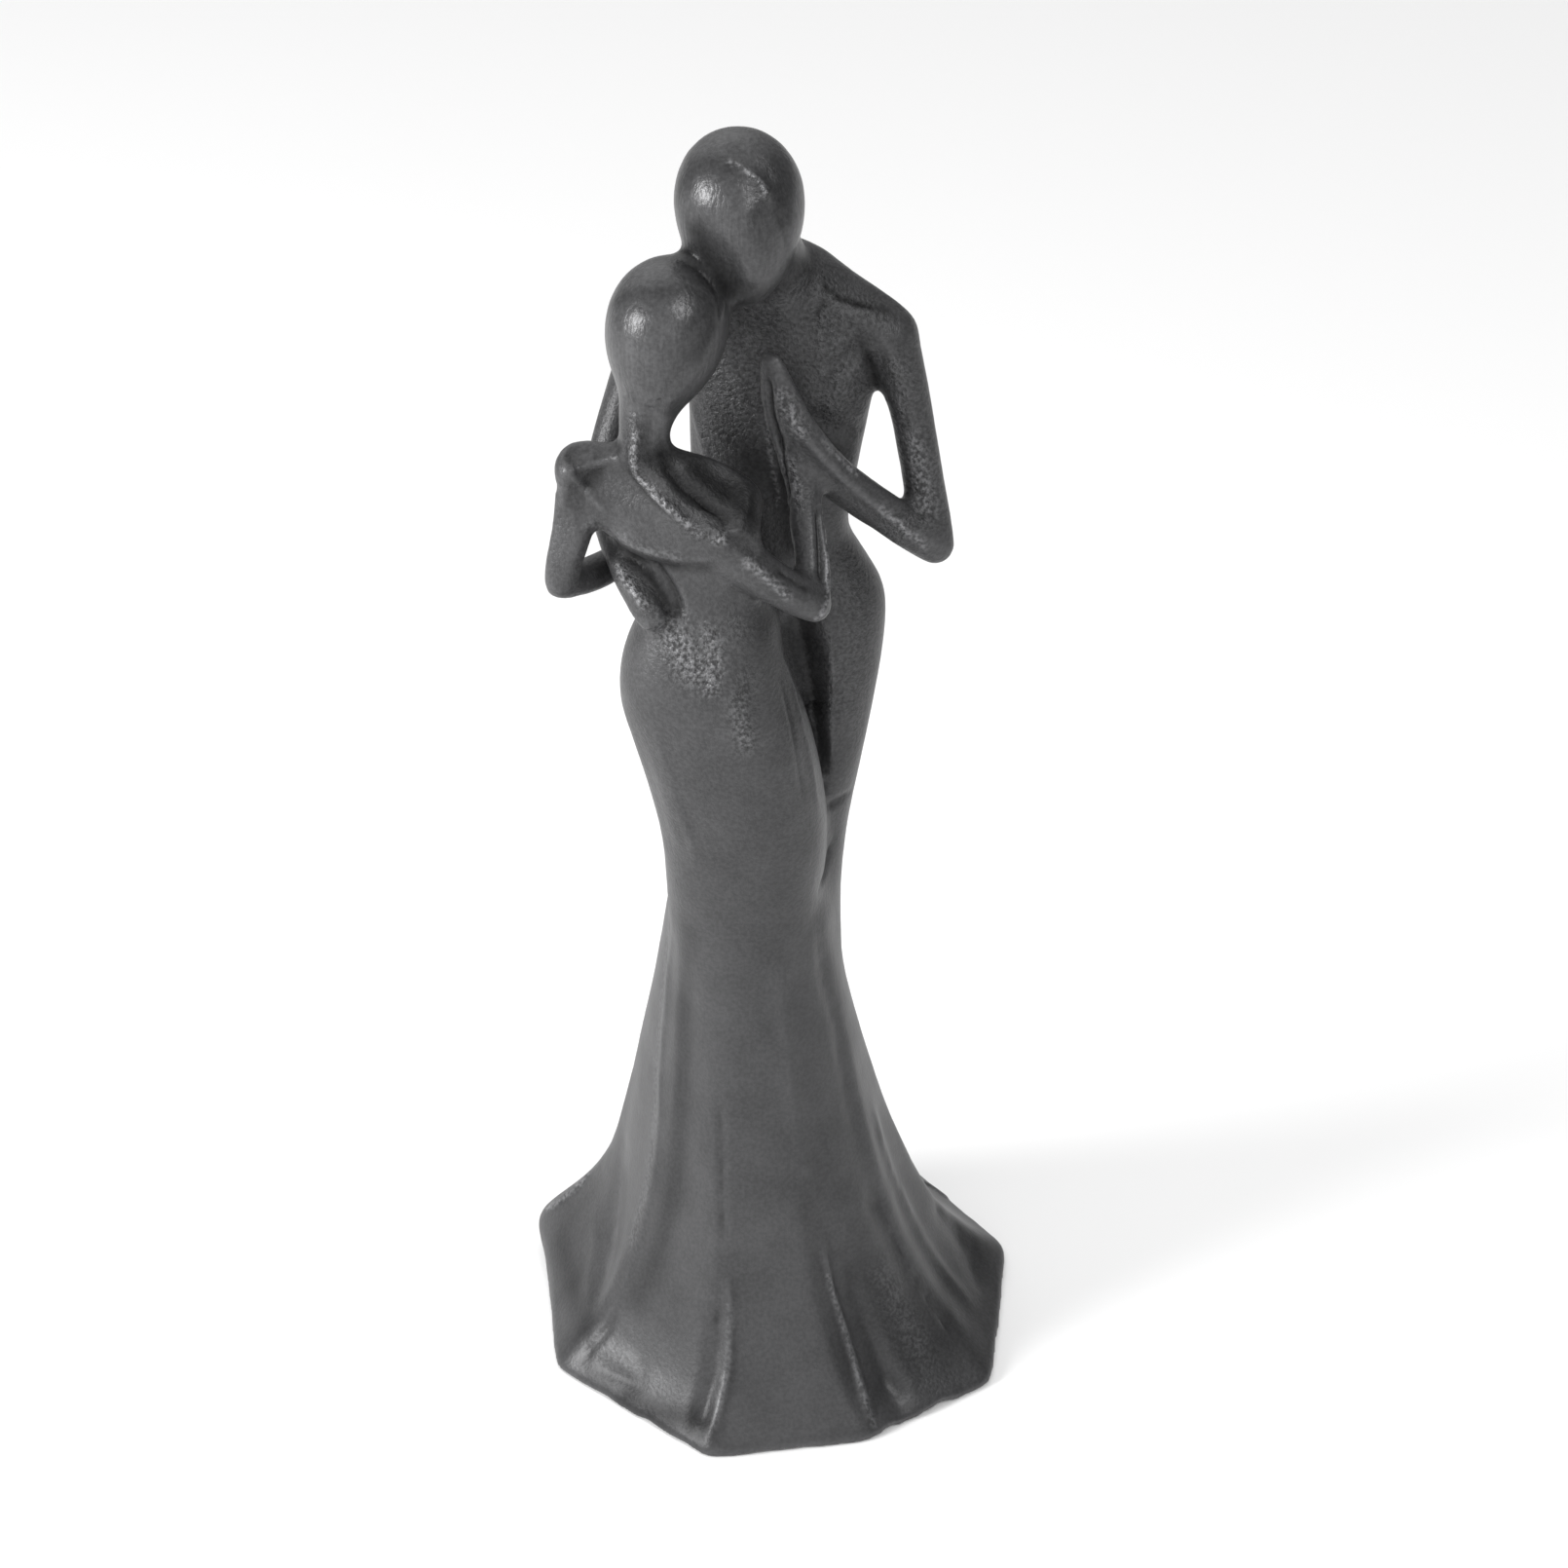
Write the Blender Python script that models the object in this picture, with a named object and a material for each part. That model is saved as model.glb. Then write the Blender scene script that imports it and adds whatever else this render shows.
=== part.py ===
"""An abstract cast-iron statue of a couple in an embrace, standing on the flared hem of her dress.

Metres, +Z up, the ground at Z = 0 and the origin under the middle of the hem. The man faces -Y. The woman
has her back to -Y, so her left arm and his right arm are on the -X side.

The two figures are free forms. Their pose is laid out on a grid of 240 units from the ground to the man's
crown, and one unit is a share of HEIGHT. The hem has a width and depth of its own.
"""

import math

import bmesh
import bpy
import numpy as np
from mathutils import Vector
from mathutils.bvhtree import BVHTree

HEIGHT = 0.240
HEM_WIDTH = 0.0886
HEM_DEPTH = 0.0843
HEM_EDGE = 0.0016

UNIT = HEIGHT / 240

# The folds of the skirt. Each has its direction at the knee and at the hem, in degrees counter-clockwise from
# +X, its reach at the hem as a share of an average fold's, how late it sweeps out (a higher power is later),
# the depth of the hollow in the panel after it, where that hollow lies between the two folds, and how far the
# fold curls out just above the hem.
FOLDS = (
    (8, 21, 1.02, 1.42, 0.05, 0.5, 0),
    (52, 60, 1.105, 1.60, 0.06, 0.5, 0),
    (102, 107, 1.02, 1.50, 0.07, 0.5, 0),
    (150, 155, 1.08, 1.08, 0.08, 0.6, 0.175),
    (213, 205, 0.99, 1.80, 0.03, 0.6, 0),
    (248, 254.6, 1.03, 1.60, 0.015, 0.2, 0),
    (288, 291, 0.95, 1.50, 0.06, 0.4, 0),
    (305, 309, 0.92, 1.45, 0.07, 0.75, 0),
    (339, 329, 1.00, 1.50, 0.09, 0.35, 0),
)
CURL_HEIGHT = 32
KNEE_HEIGHT = 92
KNEE_CENTRE = (-4.95, 0.5)
KNEE_HALF = (14.85, 17.0)
PANEL_POINTS = 24
FOLD_SOFTENING = 3

# Level sections of a body, from low to high: height, centre x and y, half width, half depth, turn in degrees.
WEB = (
    (80, -4.95, 0.5, 14.7, 16.6, 0),
    (92, -4.95, 0.5, 14.8, 16.8, 0),
    (101, -4.3, 0.7, 13.2, 14.0, 0),
    (111, -3.6, 1.0, 10.6, 10.6, 0),
    (121, -3.0, 1.2, 7.5, 7.5, 0),
)
WOMAN_BODY = (
    (60, -3.5, -1.5, 13.5, 14.0, 0),
    (92, -5.8, -3.5, 13.3, 13.5, 0),
    (110, -5.7, -5.5, 14.2, 13.0, -4),
    (120, -6.7, -6.8, 14.75, 12.8, -6),
    (130, -8.6, -8.0, 15.2, 12.6, -10),
    (140, -11.1, -9.0, 15.2, 12.4, -12),
    (147, -12.4, -9.8, 14.1, 12.0, -12),
    (153, -12.3, -10.2, 13.0, 10.8, -12),
    (158, -11.5, -10.6, 11.8, 9.4, -12),
    (163, -11.6, -10.9, 9.8, 8.2, -12),
    (168, -12.8, -11.4, 9.4, 6.6, -14),
    (172, -14.6, -12.0, 11.0, 6.2, -15),
    (175.5, -16.4, -12.5, 12.8, 6.6, -15),
    (179, -17.4, -12.5, 13.2, 6.0, -15),
    (184, -19.0, -12.3, 11.0, 5.0, -15),
)
MAN_BODY = (
    (55, 0.0, 4.0, 13.0, 13.0, 0),
    (86, -1.4, 4.5, 12.6, 13.5, 0),
    (103, -0.5, 6.5, 12.3, 12.5, 0),
    (115, 1.0, 8.6, 12.9, 11.8, 0),
    (127, 2.5, 10.2, 13.6, 11.4, 0),
    (140, 3.8, 11.2, 14.4, 11.0, 0),
    (150, 3.8, 11.4, 14.4, 10.4, 0),
    (157, 1.9, 11.2, 13.0, 9.4, 0),
    (164, -0.3, 10.8, 12.2, 8.6, 0),
    (175, -0.6, 10.8, 14.0, 8.4, 0),
    (187, 0.3, 11.0, 15.2, 8.6, 0),
    (196, 0.3, 11.0, 16.2, 8.4, 0),
    (202, 0.2, 11.0, 17.2, 7.0, 0),
)

BODIES = {"web": WEB, "woman_body": WOMAN_BODY, "man_body": MAN_BODY}
BODY_SQUARENESS = 2.3

# The heads: crown, chin or nape, half the width and half the depth.
HEADS = {
    "man_head": ((-7.4, 3.4, 239.43), (-4.4, -5.6, 211.9), 10.6, 10.9),
    "woman_head": ((-15.5, -6.5, 221.3), (-20.7, -11.4, 194.6), 10.0, 10.8),
}
HEAD_FULLNESS = 0.60
HEAD_WIDEST = 0.41

# Limbs run through stations: centre x, y and z, half the breadth in the plane of the limb, half the thickness.
# The direction after each name is square to the plane that the limb bends in.
LIMBS = {
    "man_shoulders": ((0, 1, 0), (
        (-20.0, 9.5, 200.5, 5.0, 5.0),
        (-10.0, 11.0, 204.0, 6.0, 6.5),
        (0.0, 12.0, 208.3, 7.8, 7.0),
        (10.0, 11.2, 203.9, 6.1, 6.5),
        (18.5, 9.5, 199.9, 4.9, 5.5),
    )),
    "man_neck": ((0, 1, 0), (
        (0.0, 11.0, 204.0, 8.0, 7.5),
        (-1.6, 7.5, 213.0, 6.8, 6.6),
        (-3.4, 3.0, 220.0, 6.6, 7.0),
    )),
    "man_left_upper_arm": ((0, 1, 0), (
        (18.3, 9.5, 199.8, 4.9, 5.5),
        (21.6, 7.6, 188.5, 3.7, 4.2),
        (24.5, 6.0, 173.0, 3.6, 3.5),
        (26.8, 5.0, 162.3, 3.3, 3.0),
    )),
    "man_left_forearm": ((0.25, 0.9, 0.3), (
        (26.8, 5.0, 161.8, 3.6, 2.9),
        (17.0, 1.0, 171.5, 4.3, 2.8),
        (8.8, -2.5, 180.3, 4.3, 2.6),
        (3.3, -4.5, 189.6, 3.7, 2.2),
        (0.5, -4.5, 197.4, 2.6, 1.9),
        (-0.8, -4.0, 202.4, 1.8, 1.5),
    )),
    "man_right_upper_arm": ((0, 1, 0), (
        (-19.8, 9.5, 201.0, 5.5, 5.5),
        (-24.6, 7.5, 190.5, 4.0, 4.2),
        (-27.6, 4.5, 182.0, 3.6, 3.8),
        (-29.4, 0.5, 175.5, 3.2, 3.2),
    )),
    "man_right_forearm": ((-0.6, -0.4, 0.7), (
        (-29.0, 0.0, 175.0, 3.0, 3.0),
        (-27.6, -6.0, 171.6, 2.7, 2.5),
        (-25.2, -11.4, 168.0, 2.9, 2.4),
        (-22.4, -15.8, 164.4, 3.0, 2.4),
        (-19.9, -18.6, 160.9, 2.7, 2.3),
    )),
    "woman_shoulders": ((0.2, 1, 0), (
        (-31.9, -12.2, 186.8, 5.0, 4.6),
        (-26.0, -12.2, 185.2, 5.4, 5.0),
        (-20.0, -12.0, 183.6, 6.6, 5.2),
        (-13.0, -12.0, 181.6, 6.8, 5.4),
        (-7.8, -12.2, 179.2, 6.2, 5.6),
    )),
    "woman_spine_crest": ((0.2, 1, 0), (
        (-21.4, -13.6, 194.0, 2.8, 2.6),
        (-23.2, -15.8, 189.0, 2.2, 2.0),
        (-19.6, -17.8, 184.0, 1.9, 1.7),
        (-14.2, -19.2, 179.8, 1.9, 1.7),
        (-8.6, -19.4, 176.4, 2.2, 1.9),
    )),
    "woman_shoulder_blade": ((0.2, 1, 0), (
        (-20.0, -14.4, 187.4, 3.2, 3.0),
        (-15.0, -15.6, 183.6, 4.2, 3.6),
        (-9.5, -16.2, 180.0, 4.4, 3.8),
        (-6.0, -16.6, 176.6, 3.8, 3.4),
    )),
    "woman_neck": ((0, 1, 0), (
        (-19.0, -12.5, 181.0, 6.0, 5.4),
        (-21.2, -12.2, 188.0, 4.8, 4.6),
        (-21.6, -11.6, 193.0, 4.2, 4.1),
        (-20.5, -10.8, 198.0, 5.2, 5.0),
        (-19.0, -10.0, 203.0, 6.6, 6.4),
    )),
    "woman_left_upper_arm": ((0, 1, 0), (
        (-31.2, -12.2, 185.6, 4.7, 4.6),
        (-33.6, -12.5, 175.0, 3.5, 3.4),
        (-35.9, -12.5, 165.9, 3.1, 2.9),
    )),
    "woman_left_forearm": ((0.5, -0.5, 0.7), (
        (-35.9, -12.2, 164.8, 2.9, 2.8),
        (-29.0, -4.0, 163.2, 3.1, 2.8),
        (-20.0, 4.5, 165.0, 2.6, 2.4),
        (-11.0, 9.0, 166.0, 2.4, 2.0),
    )),
    "woman_right_upper_arm": ((0.2, 1, 0), (
        (-9.0, -16.6, 174.6, 4.4, 4.0),
        (-3.6, -17.4, 170.6, 3.8, 3.7),
        (1.6, -17.2, 166.6, 3.5, 3.3),
        (6.2, -16.2, 162.9, 3.1, 2.9),
    )),
    "woman_right_forearm": ((0, 0.9, -0.4), (
        (6.1, -16.0, 163.0, 3.0, 2.7),
        (4.9, -8.6, 173.0, 3.2, 2.2),
        (2.9, -4.0, 182.0, 3.2, 2.0),
        (-0.2, -3.0, 192.4, 2.6, 1.8),
        (-2.2, -3.0, 202.2, 1.6, 1.4),
    )),
}

# How far a limb's last dome stands out, as a share of a round one: cut-off fingertips.
END_DOMES = {"man_right_forearm": 0.25}

# Flats left by the file: middle, the way it faces, how far it reaches.
BACK_REACH = 9.0
ARM_REACH = 7.0
SHOULDER_REACH = 5.5
FLATS = {
    "woman_back": ((-26.0, -15.8, 181.5), (-0.30, -0.92, 0.26), BACK_REACH),
    "woman_left_shoulder_top": ((-29.8, -13.0, 189.8), (-0.20, -0.38, 0.90), SHOULDER_REACH),
    "woman_right_shoulder_top": ((-11.4, -17.0, 184.4), (0.47, -0.43, 0.77), ARM_REACH),
    "woman_left_arm": ((-35.1, -14.6, 174.0), (-0.45, -0.88, 0.15), ARM_REACH),
}
FLAT_BLEND = 0.3

# How finely the forms are drawn and fused. The forms run below the ground and are cut flat there.
RING_POINTS = 64
DOME_RINGS = 4
UNDERSIDE_SPARE = 0.006
GRAIN = 0.0010
WELD_REACH = 0.0034
WELD_PASSES = 8
SKIN_PASSES = 4
MOST_TRIANGLES = 9600
CREASE_ANGLE = 50

IRON_COLOUR = (0.066, 0.066, 0.068, 1.0)
IRON_ROUGHNESS = 0.42
IRON_METALLIC = 0.55


def clear_scene():
    for obj in list(bpy.data.objects):
        bpy.data.objects.remove(obj)


def through(stations, count):
    """Rows of numbers at even steps along a smooth curve through the stations."""
    rows = np.array(stations, float)
    ahead = 2 * rows[-1] - rows[-2]
    behind = 2 * rows[0] - rows[1]
    rows = np.vstack([behind, rows, ahead])
    found = []
    for place in np.linspace(0, len(stations) - 1, count):
        start = min(int(place), len(stations) - 2)
        t = place - start
        a, b, c, d = rows[start:start + 4]
        found.append(0.5 * (2 * b + (c - a) * t + (2 * a - 5 * b + 4 * c - d) * t**2
                            + (3 * b - a - 3 * c + d) * t**3))
    return np.array(found)


def ring(centre, across, along, half_across, half_along, squareness=2.0):
    """Points round a superellipse: a power of 2 is an ellipse, and more is squarer."""
    turn = np.linspace(0, 2 * math.pi, RING_POINTS, endpoint=False)
    cos, sin = np.cos(turn), np.sin(turn)
    size = (np.abs(cos)**squareness + np.abs(sin)**squareness)**(-1 / squareness)
    return (np.array(centre) + np.outer(size * cos * half_across, across)
            + np.outer(size * sin * half_along, along))


def add_loft(bm, rings):
    """Skins the rings in order and caps both ends."""
    loops = [[bm.verts.new(Vector(point) * UNIT) for point in points] for points in rings]
    for lower, upper in zip(loops, loops[1:]):
        for i in range(len(lower)):
            j = (i + 1) % len(lower)
            bm.faces.new((lower[i], lower[j], upper[j], upper[i]))
    bm.faces.new(reversed(loops[0]))
    bm.faces.new(loops[-1])
    bmesh.ops.recalc_face_normals(bm, faces=bm.faces)


def level_rings(sections):
    rings = []
    for z, x, y, half_width, half_depth, turn in through(sections, 5 * len(sections)):
        angle = math.radians(turn)
        across = (math.cos(angle), math.sin(angle), 0)
        along = (-math.sin(angle), math.cos(angle), 0)
        rings.append(ring((x, y, z), across, along, half_width, half_depth, BODY_SQUARENESS))
    return rings


def limb_rings(normal, stations, end_dome):
    """Rings square to the limb's own line, with a dome at each end."""
    rows = through(stations, 8 * len(stations))
    centres = rows[:, :3]
    tangents = np.gradient(centres, axis=0)
    tangents /= np.linalg.norm(tangents, axis=1)[:, None]
    rings = []
    last = len(rows) - 1
    for i, (row, tangent) in enumerate(zip(rows, tangents)):
        breadth = np.cross(tangent, normal)
        breadth /= np.linalg.norm(breadth)
        thickness = np.cross(breadth, tangent)
        half_breadth, half_thickness = row[3:5]
        domes = range(1, DOME_RINGS + 1) if i in (0, last) else (0,)
        outward = -1 if i == 0 else 1
        found = []
        for step in domes:
            lift = math.sin(math.pi / 2 * step / (DOME_RINGS + 0.4)) * (i in (0, last))
            shrink = math.sqrt(1 - lift**2)
            reach = min(half_breadth, half_thickness) * (end_dome if i else 1)
            centre = row[:3] + tangent * outward * lift * reach
            found.append(ring(centre, breadth, thickness, half_breadth * shrink, half_thickness * shrink))
        rings.extend(reversed(found) if i == 0 else found)
    return rings


def head_rings(crown, chin, half_width, half_depth):
    """An egg from crown to chin, widest towards the crown."""
    crown, chin = np.array(crown), np.array(chin)
    axis = chin - crown
    across = np.array((1.0, 0, 0)) - axis * axis[0] / axis.dot(axis)
    across /= np.linalg.norm(across)
    along = np.cross(axis / np.linalg.norm(axis), across)
    power = math.log(0.5) / math.log(HEAD_WIDEST)
    rings = []
    for place in np.linspace(0, 1, 42)[1:-1]:
        share = (1 - math.cos(math.pi * place)) / 2
        size = math.sin(math.pi * share**power)**HEAD_FULLNESS
        rings.append(ring(crown + axis * share, across, along, half_width * size, half_depth * size))
    return rings


def flare(z, power):
    """How far the skirt has opened at a height: 0 at the knee, 1 at the hem."""
    rise = min(max(z / KNEE_HEIGHT, 0), 1)
    return 0.7 * (1 - rise)**power + 0.3 * (1 - rise)**8


def curl(z):
    """How far a curled fold stands out at a height: none at the hem or above the curl."""
    return math.sin(math.pi * math.sqrt(min(z / CURL_HEIGHT, 1)))**2


def fold_corners(z, hem_half):
    """Where the folds' ridges are at a height: direction, half width and half depth, once round and closed."""
    corners = []
    for knee, hem, reach, power, hollow, lies, curled in FOLDS:
        opened = flare(z, power)
        turn = math.radians(knee + (hem - knee) * opened**0.6)
        reach += curled * curl(z)
        half_x, half_y = (KNEE_HALF[i] + (hem_half[i] * reach - KNEE_HALF[i]) * opened for i in (0, 1))
        corners.append((turn, half_x, half_y))
    turn, half_x, half_y = corners[0]
    return corners + [(turn + 2 * math.pi, half_x, half_y)]


def skirt_outline(z, hem_half):
    """The skirt's level outline: round at the knee, and hollowed panels between the folds towards the hem."""
    rise = min(max(z / KNEE_HEIGHT, 0), 1)
    centre = [KNEE_CENTRE[i] * (1 - flare(z, 1.5)) for i in (0, 1)]
    hollowing = math.sin(math.pi * min(rise / 0.8, 1)**0.7)
    corners = fold_corners(z, hem_half)
    points = []
    for fold, start, end in zip(FOLDS, corners, corners[1:]):
        hollow, lies = fold[4:6]
        for share in np.linspace(0, 1, PANEL_POINTS, endpoint=False):
            turn, half_x, half_y = [start[k] + (end[k] - start[k]) * share for k in range(3)]
            chord_x = start[1] * math.cos(start[0]) * (1 - share) + end[1] * math.cos(end[0]) * share
            chord_y = start[2] * math.sin(start[0]) * (1 - share) + end[2] * math.sin(end[0]) * share
            depth = share / lies if share < lies else (1 - share) / (1 - lies)
            flatness = (1 - rise) * (1 - hollow * hollowing * math.sin(math.pi / 2 * depth))
            x = centre[0] + chord_x * flatness + half_x * math.cos(turn) * rise
            y = centre[1] + chord_y * flatness + half_y * math.sin(turn) * rise
            points.append((x, y))
    for softening in range(FOLD_SOFTENING):
        points = np.roll(points, 1, axis=0) / 4 + np.array(points) / 2 + np.roll(points, -1, axis=0) / 4
    return points


def fitted_hem_half():
    """The half sizes that bring the hem's outline, with its rounded corners, to its width and depth."""
    outline = skirt_outline(0, (1, 1))
    spread = outline.max(axis=0) - outline.min(axis=0)
    return (HEM_WIDTH / UNIT / spread[0], HEM_DEPTH / UNIT / spread[1])


def skirt_rings():
    hem_half = fitted_hem_half()
    edge = HEM_EDGE / UNIT
    rings = []
    for place, z in [(-UNDERSIDE_SPARE / UNIT, 0), (edge, 0)] + [(z + edge, z) for z in np.arange(1, KNEE_HEIGHT)]:
        rings.append([(x, y, place) for x, y in skirt_outline(z, hem_half)])
    return rings


def blocked_out_forms():
    """Each form of the couple as its own closed mesh, before the forms are fused."""
    rings = {"skirt": skirt_rings()}
    for name, sections in BODIES.items():
        rings[name] = level_rings(sections)
    for name, head in HEADS.items():
        rings[name] = head_rings(*head)
    for name, (normal, stations) in LIMBS.items():
        rings[name] = limb_rings(np.array(normal, float), stations, END_DOMES.get(name, 1))
    forms = {}
    for name, loops in rings.items():
        forms[name] = bmesh.new()
        add_loft(forms[name], loops)
    return forms


def evaluated_mesh(obj):
    bpy.context.view_layer.update()
    return bpy.data.meshes.new_from_object(obj.evaluated_get(bpy.context.evaluated_depsgraph_get()))


def bake(obj):
    """Makes the result of the object's modifiers its own mesh."""
    mesh = evaluated_mesh(obj)
    obj.modifiers.clear()
    obj.data = mesh


def fused(forms):
    """All forms as one skin."""
    every = bmesh.new()
    for form in forms.values():
        piece = bpy.data.meshes.new("form")
        form.to_mesh(piece)
        every.from_mesh(piece)
        bpy.data.meshes.remove(piece)
    mesh = bpy.data.meshes.new("couple_statue")
    every.to_mesh(mesh)
    every.free()
    statue = bpy.data.objects.new("couple_statue", mesh)
    bpy.context.scene.collection.objects.link(statue)
    fuse = statue.modifiers.new("fuse", "REMESH")
    fuse.mode = "VOXEL"
    fuse.voxel_size = GRAIN
    bake(statue)
    return statue


def mark_welds(statue, forms):
    """Weights the skin by how near it is to a second form, where the casting has a soft fillet."""
    trees = [BVHTree.FromBMesh(form) for form in forms.values()]
    group = statue.vertex_groups.new(name="welds")
    for vertex in statue.data.vertices:
        gaps = sorted(hit[3] for tree in trees if (hit := tree.find_nearest(vertex.co, WELD_REACH))[0])
        if len(gaps) > 1:
            group.add([vertex.index], 1 - gaps[1] / WELD_REACH, "REPLACE")


def soften(statue):
    welds = statue.modifiers.new("welds", "SMOOTH")
    welds.vertex_group = "welds"
    welds.factor = 0.6
    welds.iterations = WELD_PASSES
    skin = statue.modifiers.new("skin", "SMOOTH")
    skin.factor = 0.5
    skin.iterations = SKIN_PASSES
    bake(statue)


def file_flats(statue):
    """Presses the skin that stands proud of each flat down to it, fading out at the rim of the flat."""
    for middle, facing, reach in FLATS.values():
        middle, facing = Vector(middle) * UNIT, Vector(facing).normalized()
        reach *= UNIT
        for vertex in statue.data.vertices:
            offset = vertex.co - middle
            proud = offset.dot(facing)
            away = (offset - proud * facing).length
            if 0 < proud < reach / 2 and away < reach:
                vertex.co -= facing * proud * min(1, (1 - away / reach) / FLAT_BLEND)


def stand_flat(statue):
    """Cuts the underside flat at the ground."""
    bm = bmesh.new()
    bm.from_mesh(statue.data)
    everything = bm.verts[:] + bm.edges[:] + bm.faces[:]
    bmesh.ops.bisect_plane(bm, geom=everything, plane_co=(0, 0, 0), plane_no=(0, 0, -1), clear_outer=True)
    bmesh.ops.holes_fill(bm, edges=[edge for edge in bm.edges if edge.is_boundary])
    bmesh.ops.triangulate(bm, faces=bm.faces)
    bm.to_mesh(statue.data)
    bm.free()


def thin_out(statue):
    thin = statue.modifiers.new("thin", "DECIMATE")
    thin.ratio = min(1, MOST_TRIANGLES / len(statue.data.polygons))
    bake(statue)


def centre_on_origin(statue):
    points = np.array([vertex.co for vertex in statue.data.vertices])
    middle = (points.min(axis=0) + points.max(axis=0)) / 2
    for vertex in statue.data.vertices:
        vertex.co.x -= middle[0]
        vertex.co.y -= middle[1]


def cast_iron():
    material = bpy.data.materials.new("dark_cast_iron")
    material.use_nodes = True
    shader = material.node_tree.nodes["Principled BSDF"]
    shader.inputs["Base Color"].default_value = IRON_COLOUR
    shader.inputs["Roughness"].default_value = IRON_ROUGHNESS
    shader.inputs["Metallic"].default_value = IRON_METALLIC
    return material


def main():
    clear_scene()
    forms = blocked_out_forms()
    statue = fused(forms)
    mark_welds(statue, forms)
    soften(statue)
    file_flats(statue)
    stand_flat(statue)
    thin_out(statue)
    centre_on_origin(statue)
    statue.data.materials.clear()
    statue.data.materials.append(cast_iron())
    statue.data.shade_smooth()
    statue.data.set_sharp_from_angle(angle=math.radians(CREASE_ANGLE))


main()
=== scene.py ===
"""Looks of the cast-iron couple: its fine skin with folds, file marks and sand grain, and the studio."""

import math

import bmesh
import bpy
import numpy as np
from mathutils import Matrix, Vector, noise
from mathutils.bvhtree import BVHTree


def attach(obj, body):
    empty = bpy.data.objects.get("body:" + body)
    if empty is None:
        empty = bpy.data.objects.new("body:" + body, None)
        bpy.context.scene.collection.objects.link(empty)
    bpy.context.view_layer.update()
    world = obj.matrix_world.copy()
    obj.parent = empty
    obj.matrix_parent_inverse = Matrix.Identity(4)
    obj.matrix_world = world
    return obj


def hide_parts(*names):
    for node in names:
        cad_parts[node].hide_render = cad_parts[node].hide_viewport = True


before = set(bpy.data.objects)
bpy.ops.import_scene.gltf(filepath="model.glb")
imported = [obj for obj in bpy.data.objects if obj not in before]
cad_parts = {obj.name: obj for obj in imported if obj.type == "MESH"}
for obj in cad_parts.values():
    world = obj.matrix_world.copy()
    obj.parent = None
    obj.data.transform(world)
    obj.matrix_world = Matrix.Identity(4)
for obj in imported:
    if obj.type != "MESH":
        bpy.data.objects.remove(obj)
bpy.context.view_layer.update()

MM = 0.001

# The photograph's camera. Its middle pixel is where the lens points.
PHOTO_SIDE = 1610
PHOTO_MIDDLE = (800.0, 794.0)
SENSOR_WIDTH = 36.0
LENS = 92.97
CAMERA_PITCH = 33.0
CAMERA_PLACE = (0.0014, -0.5868, 0.5012)
CAMERA_NEAREST = 0.01

# The fine skin. It is drawn a little below the ground and cut flat there.
WELD_DISTANCE = 0.001 * MM
ROUNDING_LEVELS = 1
SKIN_GRID = 0.50 * MM
SMOOTHING = 0.5
SMOOTHING_PASSES = 3
UNDERSIDE_SPARE = 5 * MM
MOST_SKIN_TRIANGLES = 190000
POINTS_AT_ONCE = 20000
TINY = 1e-12

# A stroke or a zone follows a line of the photograph's pixels. The line is looked up on the skin at steps of
# so many pixels, it ends where it jumps to a form behind, and it needs at least so many places on the skin.
LINE_STEP = 1.0
LINE_JUMP = 3.0 * MM
FEWEST_PLACES = 3

# How many of its breadths a stroke or a zone reaches out from its line.
STROKE_REACH = 2.3
ZONE_REACH = 2.0

# A stroke fades over this share of its length at both ends, the less so the broader it is.
EASED_SHARE = 0.2
MOST_EASING = 1.2
EASING_LOSS = 6

# Strokes are uneven like hand work: their height comes and goes by this share, in waves of this length. A
# stroke that is higher than so many mm is uneven only as if it were that high.
UNEVENNESS = 0.35
UNEVEN_HEIGHT = 0.4
UNEVEN_WAVE = 3.0 * MM

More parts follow.
